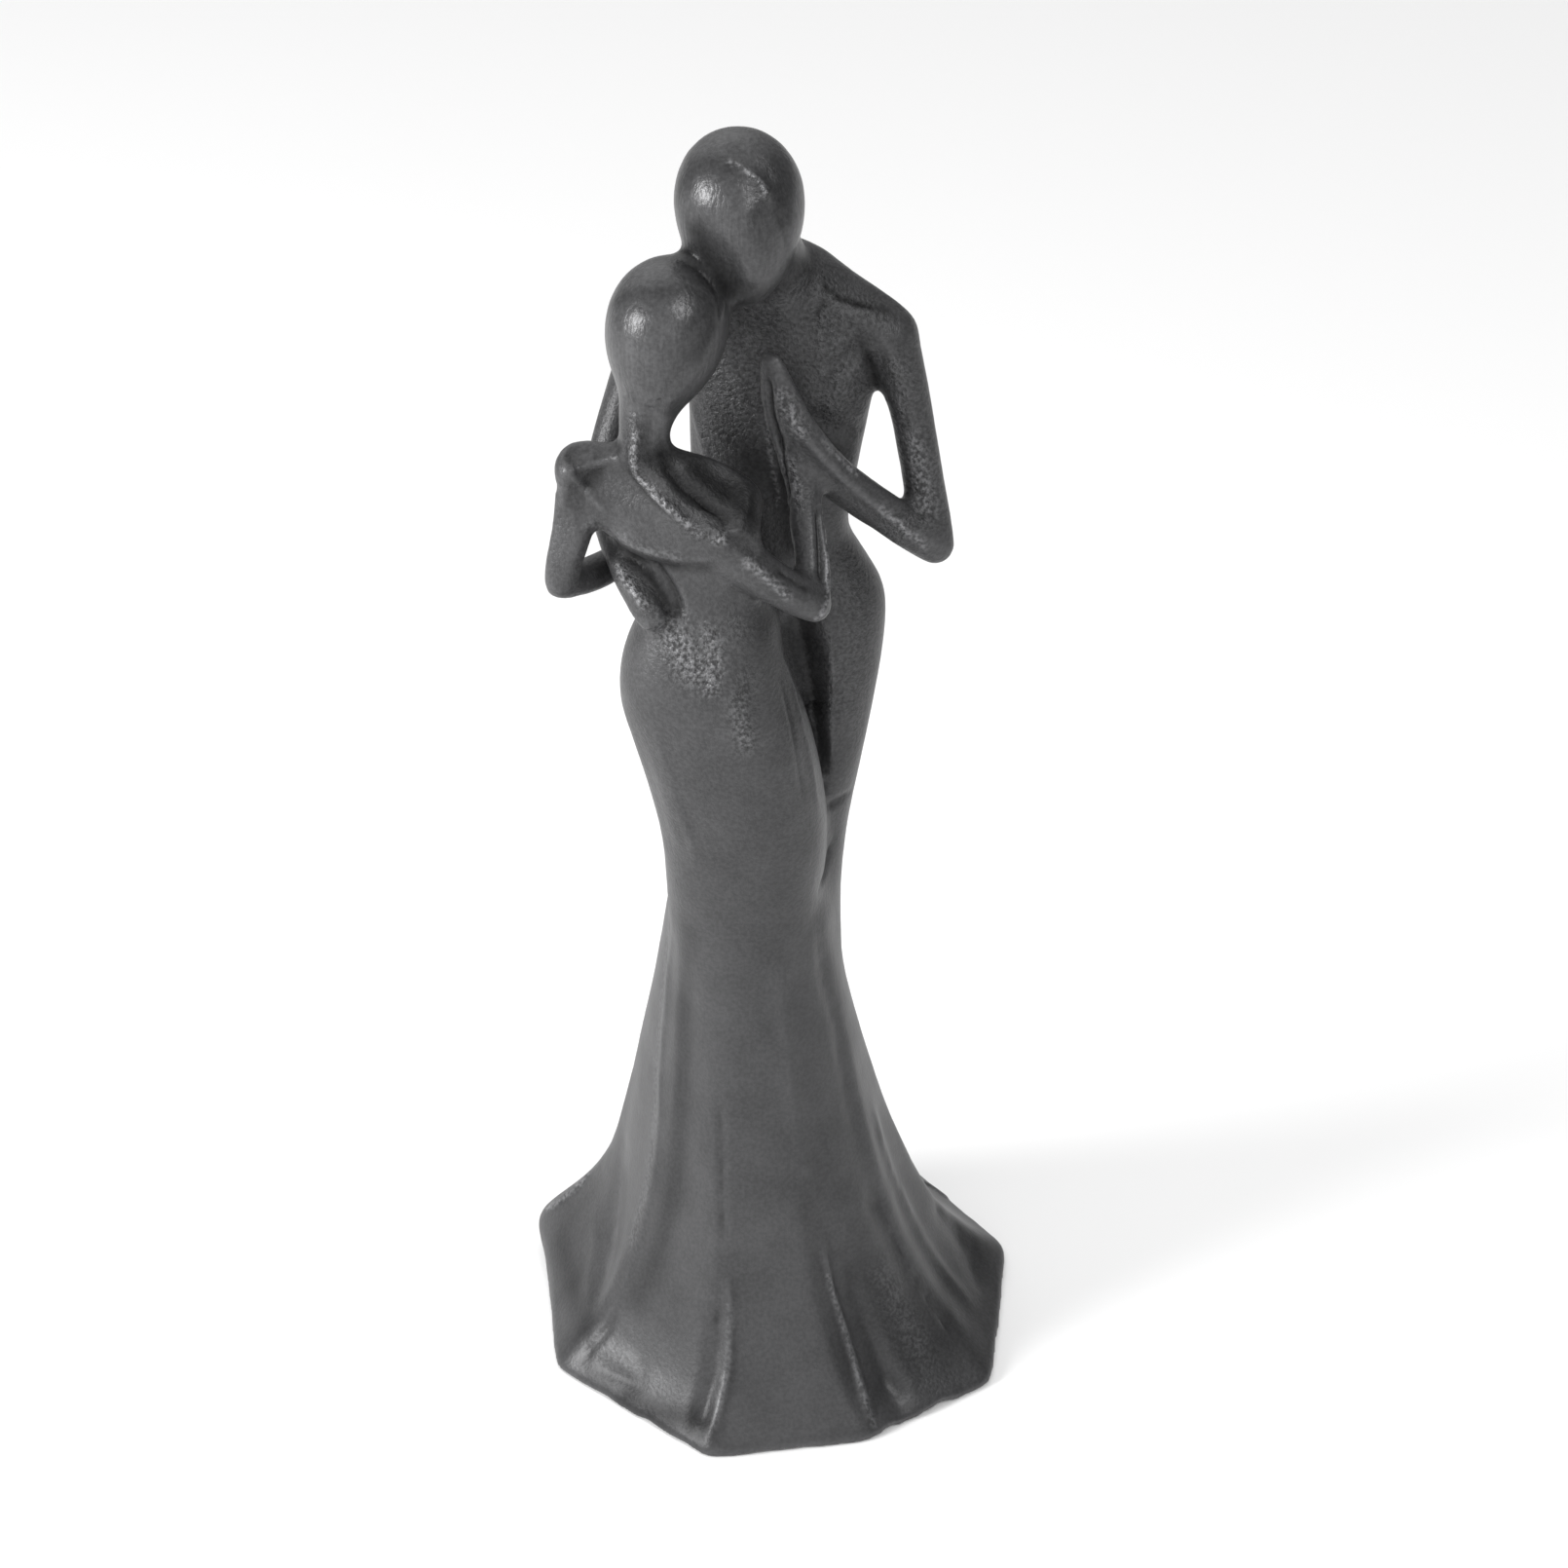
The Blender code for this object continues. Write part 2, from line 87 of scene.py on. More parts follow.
# Relief worked into the skin where the photograph shows it. Each stroke has a kind, a height and a breadth
# in mm, and its pixels. A ridge or a groove has a round section. A tilt lowers the right of its line, seen
# along it, and raises the left, so it turns a plane to the right.
RELIEF = {
    # the man's head
    "brow_edge": ("ridge", 0.30, 0.65, ((750, 166), (760, 171), (770, 177), (780, 186), (787, 197),
                                        (791, 208))),
    "brow_hollow": ("groove", 0.45, 2.0, ((755, 158), (773, 165), (790, 178), (800, 197), (804, 220))),
    "face_side_line": ("groove", 0.30, 0.8, ((793, 208), (800, 225), (806, 242), (808, 258))),
    "face_ridge": ("ridge", 0.60, 2.2, ((764, 222), (767, 242), (770, 262), (772, 284))),
    "cheek_hollow": ("groove", 0.6, 2.6, ((722, 236), (732, 252), (744, 270), (754, 288))),
    # the woman's head
    "rim_groove": ("groove", 0.20, 0.6, ((690, 266), (705, 270), (719, 279), (729, 291), (735, 303),
                                         (738, 318), (737, 335))),
    "rim_lip": ("ridge", 0.20, 0.9, ((694, 263), (712, 269), (727, 281), (737, 294), (742, 310),
                                     (742, 335))),
    "cap_line": ("groove", 0.10, 1.4, ((628, 319), (645, 310), (680, 306), (712, 307), (730, 314))),
    "nape_turn": ("tilt", 0.45, 1.8, ((730, 340), (718, 362), (706, 380), (698, 396), (692, 412))),
    # her neck and back
    "neck_column": ("ridge", 0.30, 1.1, ((690, 400), (684, 425), (682, 450), (688, 468))),
    "neck_hollow": ("groove", 0.45, 1.1, ((666, 420), (665, 445), (667, 468), (676, 486))),
    "spine_crest": ("ridge", 0.70, 0.75, ((652, 428), (652, 450), (650, 470), (653, 485), (663, 498),
                                          (675, 511), (690, 524), (703, 536), (716, 546))),
    "crest_end": ("ridge", 0.35, 0.8, ((726, 542), (738, 546), (742, 556))),
    "shoulder_dish": ("groove", 0.45, 2.3, ((588, 467), (604, 466), (622, 461))),
    "shoulder_facets": ("ridge", 0.18, 0.5, ((603, 478), (606, 468), (611, 457))),
    "shoulder_dish_edge": ("ridge", 0.18, 0.6, ((576, 472), (584, 478), (604, 480), (619, 474),
                                                (631, 462), (637, 450))),
    "arm_edge": ("ridge", 0.40, 0.7, ((577, 477), (588, 489), (600, 501), (613, 514), (626, 528))),
    "arm_side": ("tilt", 0.55, 2.6, ((574, 500), (586, 514), (600, 528), (612, 538))),
    "back_corner": ("tilt", -0.50, 3.0, ((600, 488), (618, 502), (634, 514))),
    "crest_side": ("groove", 1.20, 1.9, ((680, 469), (697, 494), (717, 513), (744, 532))),
    "back_right_lines": ("groove", 0.15, 0.6, ((712, 505), (730, 520), (750, 540))),
    "overhang": ("ridge", 0.50, 1.5, ((604, 540), (622, 546), (642, 555), (668, 567), (695, 572),
                                      (725, 573), (742, 568))),
    "overhang_under": ("groove", 0.45, 1.1, ((634, 566), (655, 575), (680, 582), (700, 585))),
    "sleeve_step": ("ridge", 0.25, 0.6, ((741, 556), (744, 548), (757, 546), (769, 550), (776, 562),
                                         (779, 575))),
    # arms and hands
    "her_arm_ridge": ("ridge", 0.45, 0.9, ((748, 560), (765, 574), (782, 588), (796, 600), (808, 611),
                                           (822, 624))),
    "her_elbow_rim": ("ridge", 0.35, 0.5, ((848, 525), (849, 560), (850, 598), (849, 618), (844, 630),
                                           (836, 638))),
    "her_arm_gap": ("groove", 0.90, 0.7, ((840, 515), (842, 545), (843, 575), (844, 603))),
    "her_elbow_hollow": ("groove", 0.50, 0.8, ((795, 583), (812, 594), (826, 603), (838, 606))),
    "her_hand_strip": ("ridge", 0.35, 0.5, ((781, 374), (783, 400), (786, 428), (790, 458), (795, 488),
                                            (800, 515))),
    "her_hand_gap": ("groove", 0.80, 0.7, ((788, 382), (790, 410), (794, 440), (799, 470))),
    "her_hand_wedge": ("groove", 1.20, 1.3, ((796, 440), (801, 475), (806, 510), (812, 545),
                                             (819, 572))),
    "waist_hand_ridge": ("ridge", 0.70, 0.9, ((634, 580), (645, 599), (655, 614), (664, 627))),
    "waist_hand_side": ("tilt", -0.45, 1.6, ((650, 578), (662, 597), (673, 614), (681, 628))),
    "waist_hand_gap": ("groove", 0.70, 0.7, ((674, 580), (688, 600), (697, 620), (699, 636))),
    "his_forearm_ridge": ("ridge", 0.50, 1.0, ((802, 405), (814, 432), (830, 453), (855, 480),
                                               (882, 504), (910, 527), (938, 547), (958, 566))),
    "his_forearm_rim": ("ridge", 0.25, 0.4, ((846, 452), (862, 470), (880, 487))),
    "his_elbow_plane": ("tilt", 0.40, 2.0, ((900, 545), (925, 562), (948, 575))),
    "waist_sleeve_left": ("ridge", 0.30, 0.7, ((626, 575), (634, 590), (646, 606))),
    # his chest and shoulder
    "collar_crease": ("groove", 0.40, 0.5, ((842, 284), (852, 300), (866, 308), (884, 313),
                                            (905, 318))),
    "collar_crease_down": ("groove", 0.35, 0.5, ((850, 300), (845, 314), (836, 328))),
    "collar_lump": ("ridge", 0.35, 1.0, ((818, 294), (826, 284), (840, 283), (850, 294))),
    "shoulder_plane": ("tilt", 0.35, 1.8, ((852, 318), (870, 326), (893, 340))),
    "shoulder_crease": ("groove", 0.20, 1.2, ((862, 288), (880, 298), (905, 306), (922, 316))),
    "tendon_groove": ("groove", 0.50, 1.4, ((878, 350), (866, 370), (853, 390), (846, 406))),
    "tendon": ("ridge", 0.40, 1.8, ((883, 362), (871, 388), (861, 414))),
    "armpit": ("groove", 0.35, 0.8, ((887, 355), (893, 375), (897, 393))),
    "chest_foot": ("groove", 0.40, 1.6, ((838, 426), (858, 439), (884, 438))),
    "flank_edge": ("ridge", 0.35, 1.0, ((713, 425), (719, 446), (725, 470))),
    "deltoid": ("ridge", 0.30, 1.2, ((905, 344), (914, 358), (920, 378))),
    # hips, cleft and knees
    "cleft_top": ("groove", 2.8, 2.8, ((820, 645), (826, 672), (833, 702), (838, 728))),
    "cleft_foot": ("groove", 2.2, 1.2, ((837, 722), (842, 750), (846, 780), (848, 812))),
    "cleft_edge": ("ridge", 0.45, 0.9, ((851, 650), (853, 690), (853, 740), (851, 800))),
    "cleft_end": ("groove", 0.50, 0.8, ((850, 829), (860, 823), (872, 815))),
    "cleft_wrinkle": ("groove", 0.55, 1.0, ((855, 864), (850, 882), (846, 900), (842, 912))),
    "hip_rim": ("ridge", 0.35, 1.0, ((799, 664), (812, 698), (821, 733), (830, 770), (836, 805),
                                     (843, 840))),
    "hip_rim_line": ("groove", 0.25, 0.6, ((797, 680), (806, 715), (814, 750), (821, 790), (827, 830))),
    "hip_patch_side": ("tilt", 0.20, 1.6, ((742, 645), (742, 690), (743, 740), (744, 790))),
    "thigh_edge": ("ridge", 0.25, 1.2, ((668, 745), (680, 775), (692, 815), (702, 845), (711, 870),
                                        (716, 900))),
    "thigh_tilt": ("tilt", 0.40, 2.5, ((662, 760), (672, 795), (684, 835), (692, 870))),
    # the skirt, from its left ear to its right ear
    "ear_rim": ("ridge", 0.35, 0.9, ((560, 1242), (575, 1232), (595, 1216), (607, 1202))),
    "left_facet": ("groove", 0.60, 3.6, ((640, 1180), (632, 1240), (622, 1300), (608, 1345))),
    "left_facet_edge": ("ridge", 0.20, 2.6, ((611, 1250), (608, 1300), (602, 1345))),
    "panel_turn": ("tilt", -0.55, 2.6, ((706, 960), (702, 1050), (699, 1150), (692, 1220), (678, 1285),
                                        (660, 1330))),
    "fold_a_edge": ("ridge", 0.20, 1.0, ((690, 905), (690, 960), (686, 1000), (682, 1050), (678, 1100),
                                         (677, 1150), (672, 1200), (664, 1240), (655, 1275),
                                         (645, 1305), (634, 1335), (620, 1360), (604, 1385))),
    "fold_a_foot": ("groove", 0.30, 1.1, ((636, 1345), (622, 1366), (606, 1386), (598, 1396))),
    "fold_b_groove": ("groove", 0.40, 1.0, ((737, 1115), (740, 1180), (741, 1240), (743, 1290))),
    "fold_b_valley": ("groove", 1.2, 2.4, ((737, 1330), (734, 1370), (730, 1410), (722, 1445),
                                           (714, 1472))),
    "fold_b_ridge": ("ridge", 0.60, 1.1, ((747, 1300), (748, 1350), (747, 1400), (741, 1435),
                                          (734, 1460), (726, 1478))),
    "fold_c_band": ("ridge", 0.60, 1.6, ((800, 975), (803, 1030), (808, 1070), (812, 1110), (818, 1150),
                                         (826, 1200), (836, 1250))),
    "fold_c_ridge": ("ridge", 0.70, 1.0, ((838, 1250), (845, 1285), (853, 1320), (864, 1355),
                                          (876, 1395), (887, 1432), (897, 1464))),
    "fold_c_valley": ("groove", 1.7, 2.8, ((866, 1290), (880, 1335), (896, 1378), (912, 1418),
                                           (926, 1446))),
    "fold_e": ("ridge", 0.80, 3.6, ((866, 1200), (882, 1250), (905, 1300), (928, 1350), (955, 1400))),
    "fold_e_valley": ("groove", 1.3, 2.8, ((891, 1200), (911, 1250), (936, 1300), (968, 1350),
                                           (1000, 1398))),
    "fold_d_ridge": ("ridge", 0.50, 2.0, ((893, 1120), (899, 1150), (913, 1200), (936, 1250),
                                          (961, 1295), (990, 1330), (1012, 1352))),
    "knee_valley": ("groove", 0.50, 2.0, ((838, 930), (846, 1000), (858, 1050), (867, 1100),
                                          (877, 1150), (891, 1200))),
    "right_ear_plane": ("groove", 0.70, 3.5, ((968, 1245), (990, 1275), (1004, 1310))),
    "right_ear_rim": ("ridge", 0.45, 0.8, ((946, 1212), (974, 1231), (1000, 1250), (1018, 1264))),
    "hem_swirl_ridge": ("ridge", 0.10, 1.4, ((600, 1405), (625, 1418), (655, 1435), (685, 1455))),
    "hem_swirl_hollow": ("groove", 0.14, 1.3, ((618, 1408), (638, 1414), (655, 1420), (660, 1405))),
    "hem_swirl_lump": ("ridge", 0.18, 2.2, ((614, 1385), (630, 1392), (646, 1404))),
}

# Where the casting's sand grain is coarse: how coarse from 0 to 1, and the breadth in mm round each line.
COARSE_GRAIN = {
    "chest": (0.9, 6.0, ((768, 325), (766, 355), (758, 400), (752, 440))),
    "breast": (0.9, 5.0, ((845, 325), (855, 350), (862, 385), (868, 415))),
    "collar": (0.8, 4.0, ((825, 290), (850, 305), (880, 325))),
    "crest": (1.0, 1.3, ((652, 430), (650, 470), (663, 498), (690, 524), (716, 546), (740, 552))),
    "his_hand": (1.0, 1.8, ((802, 408), (812, 428), (822, 445))),
    "her_forearm": (1.0, 1.8, ((812, 478), (816, 496), (820, 514))),
    "his_arm": (1.0, 2.5, ((920, 380), (935, 450), (950, 520), (925, 545))),
    "waist_hand": (0.9, 1.5, ((634, 583), (648, 603), (662, 625))),
    "left_hip": (1.0, 3.2, ((690, 648), (700, 670), (714, 692))),
    "left_hip_side": (1.0, 1.9, ((729, 650), (732, 680), (729, 708))),
    "thigh_patch": (1.0, 2.0, ((765, 700), (760, 730), (768, 765))),
    "small_patch": (0.7, 1.8, ((752, 642), (760, 654))),
    "his_hip": (0.6, 5.0, ((878, 600), (872, 660), (862, 720))),
    "right_skirt": (0.22, 5.0, ((912, 1345), (945, 1390), (962, 1415))),
    "brow": (0.8, 0.9, ((770, 180), (782, 192), (785, 202))),
}

# Edges rubbed bright by wear, and edges and patches given painted highlights: how bright from 0 to 1, and
# the breadth in mm round each line.
WEAR_AND_HIGHLIGHT = {
    "brow": (1.0, 0.45, ((750, 166), (760, 171), (770, 177), (780, 186), (787, 197))),
    "crest": (0.85, 0.55, ((652, 445), (650, 470), (654, 486), (675, 511), (703, 536), (716, 546))),
    "crest_end": (0.8, 0.7, ((734, 555), (744, 555))),
    "her_arm": (0.8, 0.8, ((768, 578), (782, 588), (796, 600), (808, 611))),
    "her_elbow": (1.0, 0.4, ((848, 540), (849, 570), (850, 598), (849, 618), (844, 630), (836, 638))),
    "her_hand": (0.8, 0.4, ((781, 374), (783, 400), (786, 428), (790, 458), (795, 488), (800, 515))),
    "waist_hand": (0.8, 0.7, ((636, 583), (647, 601), (660, 620))),
    "his_upper_arm": (0.35, 1.8, ((938, 455), (945, 490), (955, 525))),
    "her_forearm": (0.35, 1.0, ((808, 470), (814, 490), (818, 508))),
    "his_hand": (0.45, 1.4, ((802, 406), (812, 428), (820, 443))),
    "his_forearm": (0.5, 0.8, ((905, 523), (925, 540), (945, 556))),
    "his_elbow": (0.6, 0.7, ((912, 528), (930, 545), (950, 562))),
    "overhang": (0.25, 1.0, ((604, 540), (622, 546), (642, 555), (668, 567), (695, 572))),
    "left_hip": (0.45, 2.7, ((686, 646), (702, 668), (716, 690))),
    "left_hip_side": (0.50, 1.5, ((731, 655), (733, 680), (731, 706))),
    "his_rim": (0.7, 0.4, ((846, 452), (862, 470), (880, 487))),
    "fold_e": (0.15, 2.5, ((905, 1310), (928, 1350), (945, 1385))),
    "thigh_patch": (0.3, 1.2, ((760, 720), (758, 742), (766, 762))),
    "fold_a": (0.20, 1.4, ((686, 960), (682, 1000), (678, 1050), (674, 1100), (672, 1150), (667, 1200),
                           (658, 1240), (648, 1275))),
    "fold_c": (0.5, 0.5, ((851, 1310), (864, 1355), (876, 1395), (887, 1432), (897, 1464))),
    "fold_b": (0.2, 0.5, ((748, 1340), (747, 1400), (741, 1435), (734, 1460), (726, 1478))),
    "ear_rim": (0.7, 0.6, ((560, 1242), (575, 1232), (595, 1216), (607, 1202))),
    "right_ear": (0.7, 0.6, ((946, 1212), (974, 1231), (1000, 1250), (1018, 1264))),
    "hem_swirl_top": (0.1, 2.0, ((620, 1382), (640, 1398))),
}

# Planes given painted shade and painted dark reflections, darker colour and less shine: how dark from 0 to
# 1, and the breadth in mm.
PAINTED_SHADE = {
    "face_side": (0.95, 3.4, ((718, 242), (725, 262), (738, 281), (750, 298))),
    "between_heads": (0.9, 2.5, ((706, 258), (718, 268), (730, 284))),
    "brow_band": (0.40, 1.8, ((697, 195), (710, 174), (730, 166), (748, 172))),
    "cap_band": (0.40, 1.2, ((628, 312), (645, 303), (680, 299), (712, 300), (730, 306))),
    "beside_crest": (0.85, 2.2, ((680, 468), (694, 492), (712, 511), (740, 530))),
    "his_neck": (0.60, 2.2, ((812, 256), (820, 266), (828, 277))),
    "his_armpit": (0.6, 1.1, ((885, 352), (892, 372), (897, 392))),
    "under_overhang": (0.4, 1.2, ((640, 566), (665, 578), (695, 584), (725, 583))),
    "collar": (0.65, 0.9, ((846, 286), (855, 300), (870, 308), (890, 313), (908, 318))),
    "cleft_side": (0.6, 2.2, ((806, 645), (816, 675), (826, 705), (834, 735))),
    "chin": (0.6, 1.8, ((750, 312), (768, 309), (785, 302))),
    "neck": (0.5, 2.0, ((792, 300), (808, 292), (820, 282))),
    "head_right": (0.4, 2.0, ((795, 175), (803, 200), (806, 225))),
    "her_face": (0.4, 2.5, ((735, 320), (728, 345), (716, 365))),
    "right_shoulder": (0.9, 4.0, ((715, 488), (735, 506), (758, 505), (768, 525))),
    "beside_hand": (0.8, 2.0, ((792, 420), (800, 460), (806, 510), (812, 560))),
    "ribs": (0.5, 3.5, ((742, 440), (758, 455), (775, 475))),
    "waist": (0.85, 1.5, ((652, 574), (666, 590), (678, 608), (688, 628))),
    "cleft": (0.6, 2.4, ((822, 660), (835, 710), (842, 750), (845, 780))),
    "hip_side": (0.55, 3.5, ((788, 650), (802, 690), (815, 735))),
    "hem_valley": (0.3, 3.0, ((880, 1300), (905, 1365), (930, 1425))),
    "hem_rim": (0.85, 3.0, ((645, 1432), (675, 1448), (700, 1456), (722, 1466))),
    "hem_swirl": (0.45, 2.0, ((604, 1406), (625, 1420), (650, 1434))),
    "panel_side": (0.35, 3.0, ((706, 960), (701, 1050), (698, 1150), (690, 1220), (676, 1285),
                               (656, 1335))),
    "ear_right": (0.25, 4.5, ((1000, 1275), (985, 1310), (975, 1345))),
    "ear_left": (0.5, 3.5, ((575, 1280), (590, 1320), (600, 1360))),
}

# The sand grain moulded into the skin, how much it gains where the grain is coarse, and the unevenness of
# the hand-shaped model.
GRAIN_WAVE = 1.7 * MM
GRAIN_HEIGHT = 0.010 * MM
COARSE_GRAIN_GAIN = 3.5
HAND_WAVE = 14 * MM
HAND_HEIGHT = 0.13 * MM

# How sharply the skin turns, for the material: how much a bend counts, and how often it is evened out.
EDGE_GAIN = 0.9 * MM
EDGE_PASSES = 2

# The polished heads: middle and radius in mm.
POLISHED = {
    "man_head": ((-4.5, -0.9, 226.0), 16.5),
    "woman_head": ((-16.8, -8.7, 208.5), 15.5),
}
POLISH_FADE = 3 * MM

# The skirt is ground smoother than the bodies: between these heights the grain grows to its full depth.
SMOOTH_SKIRT = (85 * MM, 125 * MM)

# The iron's patterns: waves to the metre and how much finer detail they have. The brush lines are drawn out
# upwards and lean a little. A pit is a spot round the middle of a cell.
SAND_GRAIN = (1500, 2.5)
FINE_GRAIN = (3200, 2.0)
CLOUDS = (110, 4.0)
BRUSH_LINES = (1700, 2.0)
BRUSH_DRAWN_OUT = (1, 1, 0.05)
BRUSH_TURN = (0.15, 0.1, 0)
PIT_CELLS = 420
PIT_SPOT = (0.05, 0.18)

# How far each pattern lifts the surface: everywhere, and how much more or less in each zone.
PATTERN_LIFTS = {
    "sand": (0.04 * MM, {"coarse": 0.38 * MM, "upper": 0.08 * MM, "polished": -0.08 * MM}),
    "fine": (0.01 * MM, {"coarse": 0.12 * MM, "upper": 0.06 * MM, "polished": -0.05 * MM}),
    "brush": (0.03 * MM, {"polished": 0.06 * MM}),
    "pits": (0.0, {"coarse": -0.05 * MM}),
}

# Between which values a pattern or the skin's bend goes from none to full.
GRAIN_SPAN = (0.35, 0.65)
CLOUD_SPAN = (0.3, 0.7)
WEAR_AND_HIGHLIGHT_PEAKS = (0.40, 0.62)
SHARP_SPAN = (0.52, 0.72)
HOLLOW_SPAN = (0.48, 0.30)

# The iron's shade from black at 0 to white at 1, and what changes it.
CLOUD_SHADES = (0.038, 0.052)
BRUSH_SHADE = 0.012
GRAIN_SHADE = 0.010
# Rubbed wear and painted highlights: how much they lighten the colour, on grain peaks and on sharp edges.
BRIGHT_SHADE = 0.15
SHARP_BRIGHTNESS = 0.15
# Painted shade: how much hollows and the painted-shade zones darken the colour.
HOLLOW_PAINTED_SHADE = 0.50
PAINTED_SHADE_LOSS = 0.75
GRAIN_CONTRAST = 0.18
GRAIN_CONTRAST_ZONES = (0.15, {"coarse": 1.5, "upper": 0.35})
BLUE_CAST = 1.03

# How rough, metallic and shiny the iron is.
CLOUD_ROUGHNESS = (0.43, 0.38)
ROUGHNESS_CHANGES = {"polished": -0.07, "bright": -0.10}
METALLIC = 0.3
SHINE = 0.35

# The studio's soft surroundings: an even light, and lobes with a direction and a strength.
SKY_EVEN = 0.03
SKY_SHARPNESS = 5
SKY_LOBES = (
    ((-0.1, 0.7, 0.7), 1.2),
    ((-0.5, 0.5, 0.6), 0.5),
    ((0.0, 0.0, 1.0), 0.9),
    ((-0.1, -0.98, 0.14), 1.8),
)

# The soft lamps: direction, distance, size and power. They are aimed at the statue's middle.
LAMP_AIM = (0, 0, 0.13)
LAMPS = {
    "key": ((-0.90, -0.36, 0.33), 0.9, 0.30, 9),
    "fill": ((0.40, -0.51, 0.75), 0.9, 0.30, 3),
}

# The plain floor.
FLOOR_SIZE = 12
FLOOR_COLOUR = (0.93, 0.93, 0.93, 1)
FLOOR_ROUGHNESS = 0.7


def photo_camera():
    """The camera that took the photograph."""
    data = bpy.data.cameras.new("camera")
    data.sensor_width = SENSOR_WIDTH
    data.lens = LENS
    data.shift_x = (PHOTO_SIDE / 2 - PHOTO_MIDDLE[0]) / PHOTO_SIDE
    data.shift_y = (PHOTO_MIDDLE[1] - PHOTO_SIDE / 2) / PHOTO_SIDE
    data.clip_start = CAMERA_NEAREST
    camera = bpy.data.objects.new("camera", data)
    camera.location = CAMERA_PLACE
    camera.rotation_euler = (math.radians(90 - CAMERA_PITCH), 0, 0)
    bpy.context.scene.collection.objects.link(camera)
    bpy.context.scene.camera = camera


def photo_ray(pixel):
    """The direction from the camera through a pixel of the photograph."""
    pitch = math.radians(CAMERA_PITCH)
    right = Vector((1, 0, 0))
    up = Vector((0, math.sin(pitch), math.cos(pitch)))
    forward = Vector((0, math.cos(pitch), -math.sin(pitch)))
    pixels_per_unit = LENS / SENSOR_WIDTH * PHOTO_SIDE
    u, v = pixel
    return (forward + right * (u - PHOTO_MIDDLE[0]) / pixels_per_unit
            - up * (v - PHOTO_MIDDLE[1]) / pixels_per_unit).normalized()


def baked(obj):
    """Makes the result of the object's modifiers its own mesh."""
    bpy.context.view_layer.update()
    depsgraph = bpy.context.evaluated_depsgraph_get()
    mesh = bpy.data.meshes.new_from_object(obj.evaluated_get(depsgraph))
    obj.modifiers.clear()
    obj.data = mesh


def fine_skin(node):
    """The statue's skin drawn again on a fine even grid, with the node's facets rounded off."""
    bm = bmesh.new()
    bm.from_mesh(bpy.data.objects[node].data)
    bmesh.ops.remove_doubles(bm, verts=bm.verts, dist=WELD_DISTANCE)
    underside = [face for face in bm.faces if all(vert.co.z < WELD_DISTANCE for vert in face.verts)]
    lowered = bmesh.ops.extrude_face_region(bm, geom=underside)["geom"]
    bmesh.ops.delete(bm, geom=underside, context="FACES")
    for part in lowered:
        if isinstance(part, bmesh.types.BMVert):
            part.co.z -= UNDERSIDE_SPARE
    bmesh.ops.recalc_face_normals(bm, faces=bm.faces)
    mesh = bpy.data.meshes.new("statue_skin")
    bm.to_mesh(mesh)
    bm.free()
    skin = bpy.data.objects.new("statue_skin", mesh)
    bpy.context.scene.collection.objects.link(skin)
    rounding = skin.modifiers.new("rounding", "SUBSURF")
    rounding.levels = ROUNDING_LEVELS
    rounding.render_levels = ROUNDING_LEVELS
    grid = skin.modifiers.new("grid", "REMESH")
    grid.mode = "VOXEL"
    grid.voxel_size = SKIN_GRID
    smooth = skin.modifiers.new("smooth", "SMOOTH")
    smooth.factor = SMOOTHING
    smooth.iterations = SMOOTHING_PASSES
    baked(skin)
    return skin


def thin_out(skin):
    """Drops the corners that the relief can do without."""
    triangles = sum(len(face.vertices) - 2 for face in skin.data.polygons)
    thin = skin.modifiers.new("thin", "DECIMATE")
    thin.ratio = min(1.0, MOST_SKIN_TRIANGLES / triangles)
    baked(skin)


def cut_flat(skin):
    """Cuts the skin off flat at the ground and closes the underside."""
    bm = bmesh.new()
    bm.from_mesh(skin.data)
    everything = bm.verts[:] + bm.edges[:] + bm.faces[:]
    downwards = (0, 0, -1)
    bmesh.ops.bisect_plane(bm, geom=everything, plane_co=(0, 0, 0), plane_no=downwards, clear_outer=True)
    bmesh.ops.holes_fill(bm, edges=[edge for edge in bm.edges if edge.is_boundary])
    bm.to_mesh(skin.data)
    bm.free()


def read_points(mesh):
    """The mesh's points and the skin's direction at each."""
    points = np.empty(len(mesh.vertices) * 3)
    mesh.vertices.foreach_get("co", points)
    normals = np.empty(len(mesh.vertices) * 3)
    mesh.vertex_normals.foreach_get("vector", normals)
    return points.reshape(-1, 3), normals.reshape(-1, 3)


def waves(points, length):
    """Smooth noise from -1 to 1 at each point."""
    return np.array([noise.noise(point) for point in (points / length).tolist()])


def smooth_line(pixels):
    """Closely spaced pixels along a smooth curve through the given pixels."""
    rows = np.array(pixels, float)
    rows = np.vstack([2 * rows[0] - rows[1], rows, 2 * rows[-1] - rows[-2]])
    line = []
    for a, b, c, d in zip(rows, rows[1:], rows[2:], rows[3:]):
        steps = max(2, int(np.linalg.norm(c - b) / LINE_STEP))
        for t in np.arange(steps) / steps:
            line.append(0.5 * (2 * b + (c - a) * t + (2 * a - 5 * b + 4 * c - d) * t**2
                               + (3 * b - a - 3 * c + d) * t**3))
    return line + [rows[-2]]


def on_skin(tree, pixels):
    """Where a line of the photograph's pixels falls on the skin: its longest stretch without a jump."""
    runs = [[]]
    for pixel in smooth_line(pixels):
        hit, normal = tree.ray_cast(Vector(CAMERA_PLACE), photo_ray(pixel))[:2]
        if hit is None:
            continue
        if runs[-1] and (hit - runs[-1][-1][0]).length > LINE_JUMP:
            runs.append([])
        runs[-1].append((hit, normal))
    run = max(runs, key=len)
    return np.array([hit for hit, normal in run]), np.array([normal for hit, normal in run])


